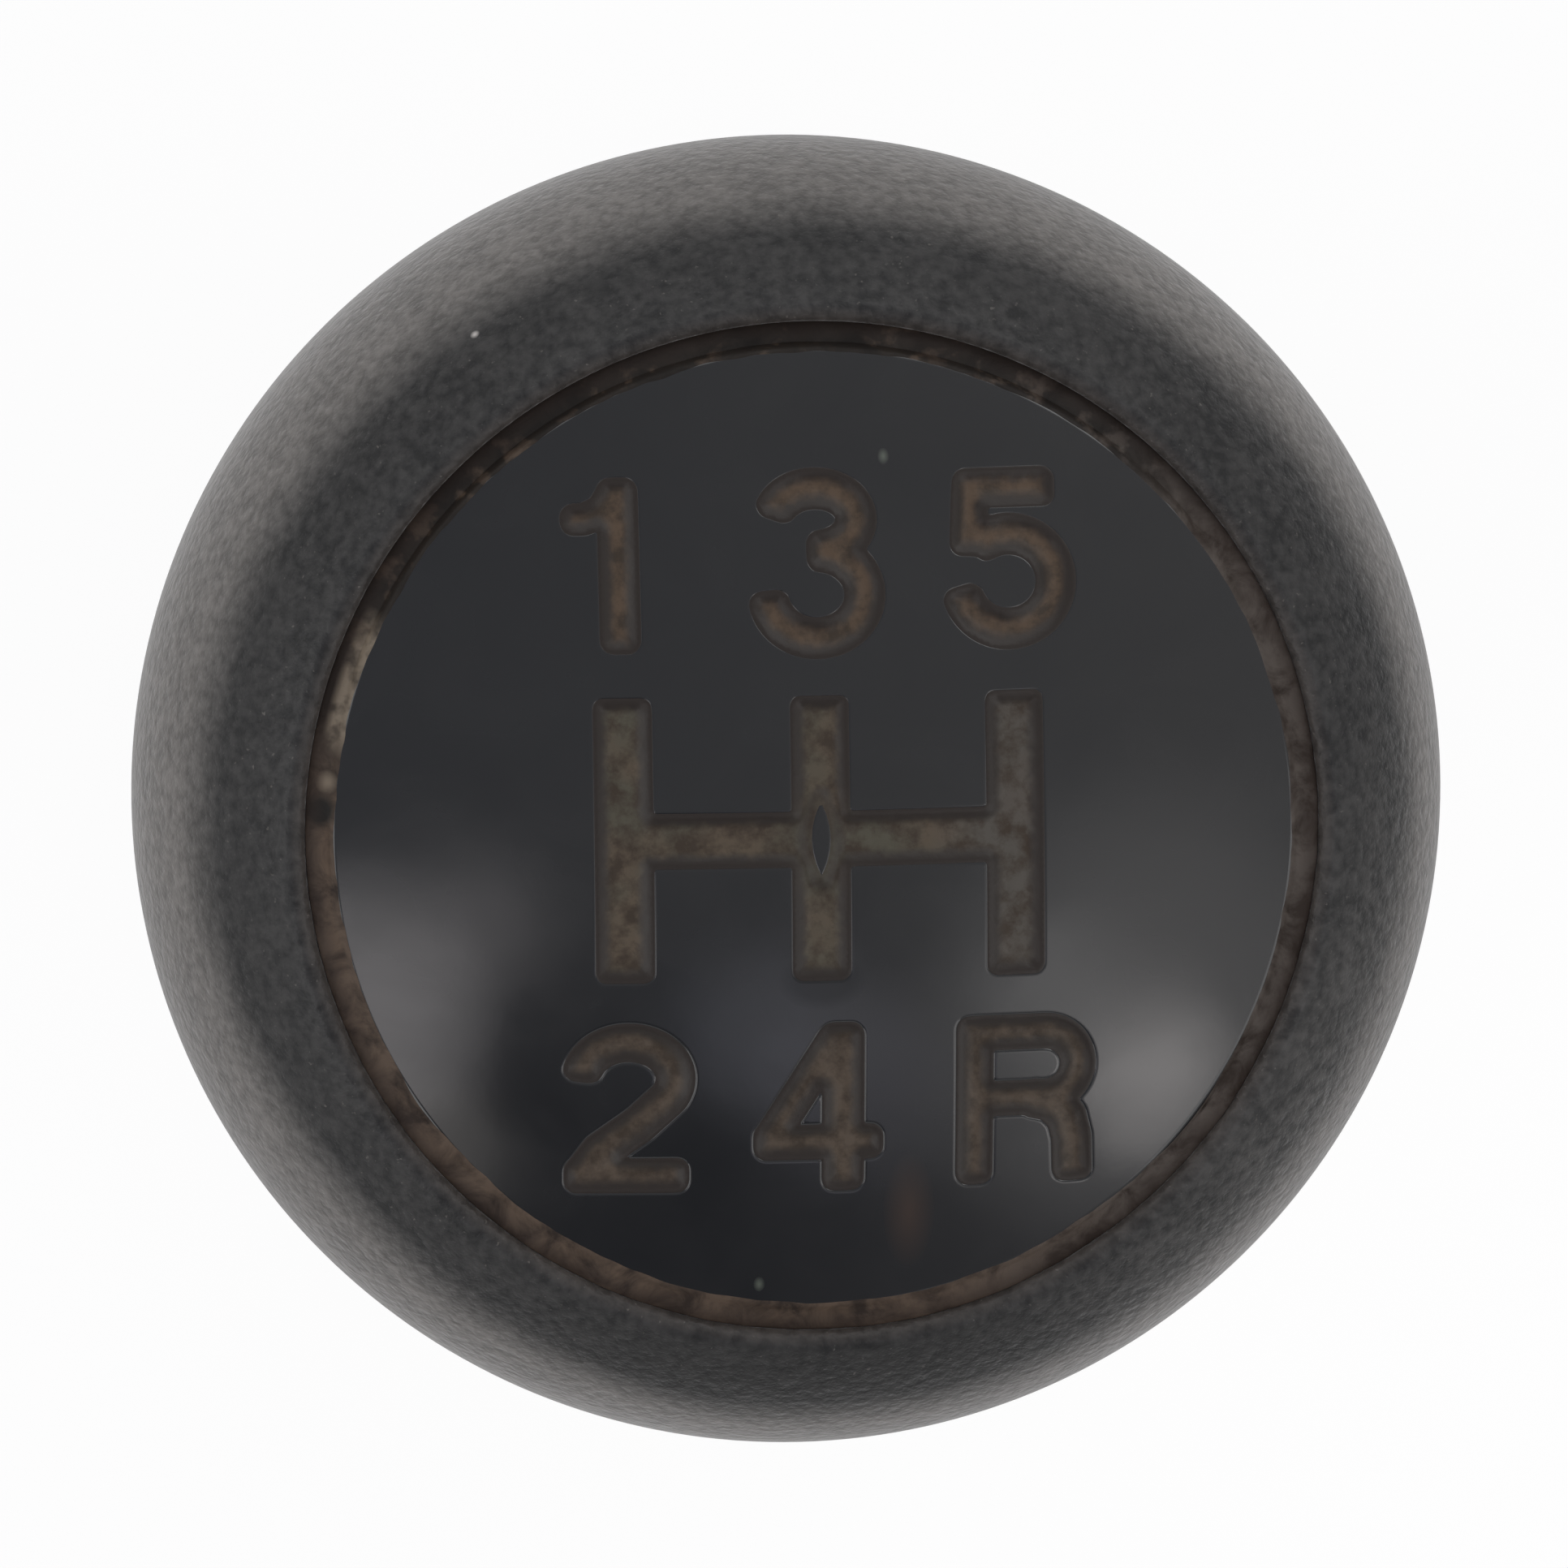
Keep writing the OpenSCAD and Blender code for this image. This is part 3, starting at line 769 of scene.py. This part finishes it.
def build_paint(glyph, number, material):
    """One island of paint on the engraving's floor."""
    field = FIELDS[glyph]
    finish = PAINT_END if glyph in BARE_EDGES else PAINT_END + PAINT_MORE
    flat, faces = paint_sheet(field, finish)
    apart = field.at(*flat.T)
    depth = engraved_depth(*flat.T)
    top = on_dome(*flat.T, depth - paint_thickness(*flat.T, apart, finish, number))
    bottom = on_dome(*flat.T, depth + PAINT_UNDER)
    points = np.vstack([top, bottom])
    obj = make_piece("fill_" + glyph, points, closed_faces(faces, len(flat)), material, sharp=60)
    store_stain_and_shade(obj.data, flat, apart, number + 90)
    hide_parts("paint_" + glyph)
    return obj


# Bond

BEAD_LOW = 0.3
BEAD_SUNK = 0.25
SUNK_AZIMUTH = 106
SUNK_SPREAD = 56
SMEAR_TURN = 63
WAVES_R = 6


def sunk_share(turn):
    """How far the old adhesive has sunk, as a share, by the angle round the axis."""
    return np.exp(-((np.degrees(turn) - SUNK_AZIMUTH) / SUNK_SPREAD) ** 6)


def smear_turn(turn, x, y):
    """How far round the cap's edge the adhesive is smeared, as an angle."""
    smear = SMEAR_TURN + 5 * waves(x, y, 1.2, 10) + 3 * waves(x, y, 0.4, 11)
    for centre, spread, more in ((247, 30, 8), (322, 14, -20), (214, 8, -12)):
        smear += more * np.exp(-((np.degrees(turn) - centre) / spread) ** 2)
    return np.radians(smear)


def build_bond(material):
    """The bond under the cap's rim and the uneven line of it round the cap, smeared onto the cap's edge."""
    turns = 2 * TURNS
    turn = np.arange(turns) * TAU / turns
    x, y = WAVES_R * np.cos(turn), WAVES_R * np.sin(turn)
    top = LIP_Z - BEAD_LOW - BEAD_SUNK * sunk_share(turn)
    top += 0.06 * waves(x, y, 2.0, 7) + 0.04 * waves(x, y, 0.6, 8)
    clear = 0.01
    reach = RECESS_R - CAP_R - clear
    inner = HOLLOW_R - CAP_FIT
    flat = np.zeros(turns)
    rows = [(inner + flat, SEAT_Z + flat), (CAP_R + reach + flat, SEAT_Z + flat)]
    for share, rise in ((1.0, -0.12), (0.85, -0.06), (0.5, 0.03), (0.1, 0.14)):
        rows.append((CAP_R + share * reach + flat, top + rise))
    smear = smear_turn(turn, x, y)
    for share in (0.5, 0.8, 1.0):
        lift = CAP_EDGE_R + 0.03 * (1 - share ** 8)
        rows.append((CAP_EDGE_X + lift * np.cos(share * smear), CAP_EDGE_Z + lift * np.sin(share * smear)))
    rows += [(CAP_EDGE_X + flat, CAP_EDGE_Z + flat), (CAP_R - 0.1 + flat, SEAT_Z + BOND_T + flat),
             (inner + flat, SEAT_Z + BOND_T + flat)]
    points = [np.column_stack([r * np.cos(turn), r * np.sin(turn), z]) for r, z in rows]
    faces = ring_faces(len(rows), turns, True)
    obj = make_piece("bond_line", np.vstack(points), faces, material)
    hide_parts("cap_bond")
    return obj


# Insert

THREAD_CREST_R = 5.32
THREAD_ROOT_R = 6.0
THREAD_PITCH = 1.25
THREAD_ROWS = 241
CREST_FLAT = 0.25
ROOT_FLAT = 0.125
LEAD_IN = 0.9
FLANGE_T = 1.6
LOCK_W = 4.0
LOCK_DEPTH = 0.9
KNURL_R = 7.9
KNURL_DEPTH = 0.4
KNURL_TEETH = 32
KNURL_STEPS = 6


def thread_radius(turn, z):
    """Radius of the right-handed thread, with flats at its crests and roots and a lead-in at its foot."""
    phase = (z / THREAD_PITCH - turn / TAU) % 1.0
    away = np.abs(phase - 0.5) * 2
    rise = np.clip((1 - CREST_FLAT - away) / (1 - CREST_FLAT - ROOT_FLAT), 0, 1)
    cone = THREAD_CREST_R + LEAD_IN - (z - CORE_Z)
    return np.maximum(THREAD_CREST_R + (THREAD_ROOT_R - THREAD_CREST_R) * rise, cone)


def knurl_radius(turn):
    """Radius of the straight knurl, a point to each tooth."""
    phase = turn / TAU * KNURL_TEETH % 1.0
    return KNURL_R - KNURL_DEPTH * (1 - np.abs(2 * phase - 1))


def build_insert(material):
    """The threaded brass insert."""
    turns = KNURL_STEPS * KNURL_TEETH
    turn = np.arange(turns) * TAU / turns
    flat = np.zeros(turns)
    band = (INSERT_Z - CORE_Z - FLANGE_T - LOCK_W) / 2
    flange_z = CORE_Z + FLANGE_T
    lock_r = KNURL_R - KNURL_DEPTH - LOCK_DEPTH
    edge = 0.2
    knurl = knurl_radius(turn)
    heights = np.linspace(INSERT_Z, CORE_Z, THREAD_ROWS)
    rows = [(thread_radius(turn, z), z) for z in heights]
    rows += [(FLANGE_R - edge + flat, CORE_Z), (FLANGE_R + flat, CORE_Z + edge), (FLANGE_R + flat, flange_z),
             (knurl, flange_z), (knurl, flange_z + band), (lock_r + flat, flange_z + band),
             (lock_r + flat, INSERT_Z - band), (knurl, INSERT_Z - band), (knurl, INSERT_Z)]
    points = [np.column_stack([r * np.cos(turn), r * np.sin(turn), z + flat]) for r, z in rows]
    faces = ring_faces(len(rows), turns, True)
    obj = make_piece("insert_brass", np.vstack(points), faces, material, sharp=30)
    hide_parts("threaded_insert")
    return obj


# Stage

TARGET = Vector((0, 0, WAIST_Z * MM))
SEEN_SHARE = 0.9
FLOOR_HALF = 1500.0
LAMP_AWAY = 0.9


def show_background(tree, plain, seen):
    """Shader that rays from the camera, gloss and glass see in part as a plain glow."""
    path = add(tree, "ShaderNodeLightPath").outputs
    direct = math_node(tree, "MAXIMUM", path["Is Camera Ray"], path["Is Glossy Ray"])
    direct = math_node(tree, "MAXIMUM", direct, path["Is Transmission Ray"])
    factor = math_node(tree, "MULTIPLY", direct, SEEN_SHARE)
    return add(tree, "ShaderNodeMixShader", {0: factor, 1: plain, 2: seen}).outputs[0]


def build_floor():
    """Pale floor, white round the object and a little darker further out."""
    points = [(FLOOR_HALF * x, FLOOR_HALF * y, 0) for x, y in ((-1, -1), (1, -1), (1, 1), (-1, 1))]
    material = bpy.data.materials.new("pale_floor")
    material.use_nodes = True
    tree = material.node_tree
    tree.nodes.clear()
    flat = add(tree, "ShaderNodeVectorMath", {0: place(tree), 1: (1, 1, 0)}, operation="MULTIPLY")
    away = add(tree, "ShaderNodeVectorMath", {0: flat.outputs[0]}, operation="LENGTH").outputs["Value"]
    colour = mix(tree, ramp(tree, away, 0.075, 0.16, 0.0, 1.0), (1.0, 1.0, 1.0), (0.42, 0.42, 0.42))
    plain = add(tree, "ShaderNodeBsdfDiffuse", {"Color": colour}).outputs[0]
    glow = add(tree, "ShaderNodeEmission", {"Color": colour, "Strength": 1.0}).outputs[0]
    add(tree, "ShaderNodeOutputMaterial", {"Surface": show_background(tree, plain, glow)})
    floor = make_piece("floor", points, [(0, 1, 2, 3)], material)


def glow(tree, way, total, across, up, inner, outer, colour):
    """Adds a soft round patch to the room, placed by its degrees from overhead to the right and the back."""
    tilt = math.radians(math.hypot(across, up))
    turn = math.atan2(up, across)
    centre = (math.sin(tilt) * math.cos(turn), math.sin(tilt) * math.sin(turn), math.cos(tilt))
    near = add(tree, "ShaderNodeVectorMath", {0: way, 1: centre}, operation="DOT_PRODUCT").outputs["Value"]
    edge = (math.cos(math.radians(outer)), math.cos(math.radians(inner)))
    inputs = {"Value": near, "From Min": edge[0], "From Max": edge[1], "To Min": 0.0, "To Max": 1.0}
    part = add(tree, "ShaderNodeMapRange", inputs, interpolation_type="SMOOTHSTEP").outputs[0]
    lit = add(tree, "ShaderNodeVectorMath", {0: colour, 3: part}, operation="SCALE").outputs[0]
    return add(tree, "ShaderNodeVectorMath", {0: total, 1: lit}, operation="ADD").outputs[0]


# Soft patches of light in the room: degrees from overhead to the right and the back, inner and outer
# radius in degrees, and colour
PATCHES = (
    (-30, -21, 1, 12, (2.8, 2.66, 2.68)),
    (-20.5, -14, 1, 7, (0.93, 0.87, 0.88)),
    (-24.5, -32, 1, 7.5, (1.15, 1.08, 1.02)),
    (30.5, -27.5, 1, 7.5, (3.1, 2.95, 2.9)),
    (23, -20, 2, 7, (0.9, 0.88, 0.87)),
    (29, -22, 5, 20, (0.75, 0.73, 0.72)),
    (0, -22, 2, 8, (0.33, 0.34, 0.42)),
    (8, -27, 2, 9, (0.36, 0.35, 0.42)),
    (4, -22.5, 1, 10, (0.36, 0.355, 0.38)),
)


def build_world():
    """Dim room that the cap mirrors, brighter to the right and dark in front, with soft patches of light."""
    world = bpy.data.worlds.new("room")
    bpy.context.scene.world = world
    world.use_nodes = True
    tree = world.node_tree
    tree.nodes.clear()
    way = add(tree, "ShaderNodeTexCoord").outputs["Generated"]
    parts = add(tree, "ShaderNodeSeparateXYZ", {0: way}).outputs
    across = ramp(tree, parts["X"], -0.5, 0.65, 0.0, 1.0)
    ceiling = mix(tree, across, (0.335, 0.345, 0.385), (0.66, 0.65, 0.66))
    low = mix(tree, ramp(tree, parts["X"], 0.0, 0.45, 0.0, 1.0), (0.08, 0.083, 0.105), (0.42, 0.41, 0.43))
    ceiling = mix(tree, ramp(tree, parts["Y"], -0.48, -0.12, 1.0, 0.0), ceiling, low)
    colour = mix(tree, ramp(tree, parts["Z"], 0.2, 0.6, 0.0, 1.0), (0.55, 0.55, 0.55), ceiling)
    for across, up, inner, outer, light in PATCHES:
        colour = glow(tree, way, colour, across, up, inner, outer, light)
    backdrop = add(tree, "ShaderNodeBackground", {"Color": colour, "Strength": 1.0}).outputs[0]
    add(tree, "ShaderNodeOutputWorld", {"Surface": backdrop})


def softbox(name, azimuth, elevation, width, height, radiance):
    """A soft rectangular lamp aimed at the object, with its size seen from there in degrees."""
    turn, lift = math.radians(azimuth), math.radians(elevation)
    way = Vector((math.cos(lift) * math.cos(turn), math.cos(lift) * math.sin(turn), math.sin(lift)))
    lamp = bpy.data.lights.new(name, "AREA")
    lamp.shape = "RECTANGLE"
    lamp.size = 2 * LAMP_AWAY * math.tan(math.radians(width / 2))
    lamp.size_y = 2 * LAMP_AWAY * math.tan(math.radians(height / 2))
    lamp.energy = radiance * math.pi * lamp.size * lamp.size_y
    obj = bpy.data.objects.new(name, lamp)
    obj.location = TARGET + way * LAMP_AWAY
    obj.rotation_euler = way.to_track_quat("Z", "Y").to_euler()
    bpy.context.scene.collection.objects.link(obj)


def build_lamps():
    """Large softboxes, all too low for the cap's face to mirror."""
    softbox("lamp_back", 100, 27, 70, 26, 1.5)
    softbox("lamp_side", 193, 26, 70, 26, 2.1)
    softbox("lamp_corner", 45, 34, 26, 20, 2.6)
    softbox("lamp_right", -27, 29, 40, 22, 1.6)
    softbox("lamp_front", -95, 20, 50, 18, 0.45)


def build_camera():
    """The camera of the picture, half a metre away and nine degrees off the axis."""
    tilt, turn, roll = (math.radians(angle) for angle in (9.01, 124.1, -0.66))
    away, aside, up = 0.5, -0.00012, 0.00025
    back = Vector((math.sin(tilt) * math.cos(turn), math.sin(tilt) * math.sin(turn), math.cos(tilt)))
    level = Vector((0, 1, 0)).cross(back).normalized()
    rise = back.cross(level)
    right = level * math.cos(roll) + rise * math.sin(roll)
    above = rise * math.cos(roll) - level * math.sin(roll)
    lens = bpy.data.cameras.new("camera")
    lens.sensor_width = 36.0
    lens.lens = 300.8
    lens.clip_start = 0.01
    obj = bpy.data.objects.new("camera", lens)
    eye = TARGET + back * away + right * aside + above * up
    axes = Matrix((right, above, back)).transposed()
    obj.matrix_world = Matrix.Translation(eye) @ axes.to_4x4()
    bpy.context.scene.collection.objects.link(obj)
    bpy.context.scene.camera = obj


def build_all():
    """All pieces of the knob, each on the frame's one body."""
    paint = paint_material()
    made = [build_grip(grip_material()), build_cap(cap_material()), build_bond(bond_material()),
            build_insert(brass_material())]
    made += [build_paint(glyph, number, paint) for number, glyph in enumerate(GLYPHS)]
    for obj in made:
        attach(obj, "root")
    plastic = core_material()
    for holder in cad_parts["core"].material_slots:
        holder.material = plastic


build_all()
build_floor()
build_world()
build_lamps()
build_camera()
bpy.context.scene.view_settings.view_transform = "Standard"
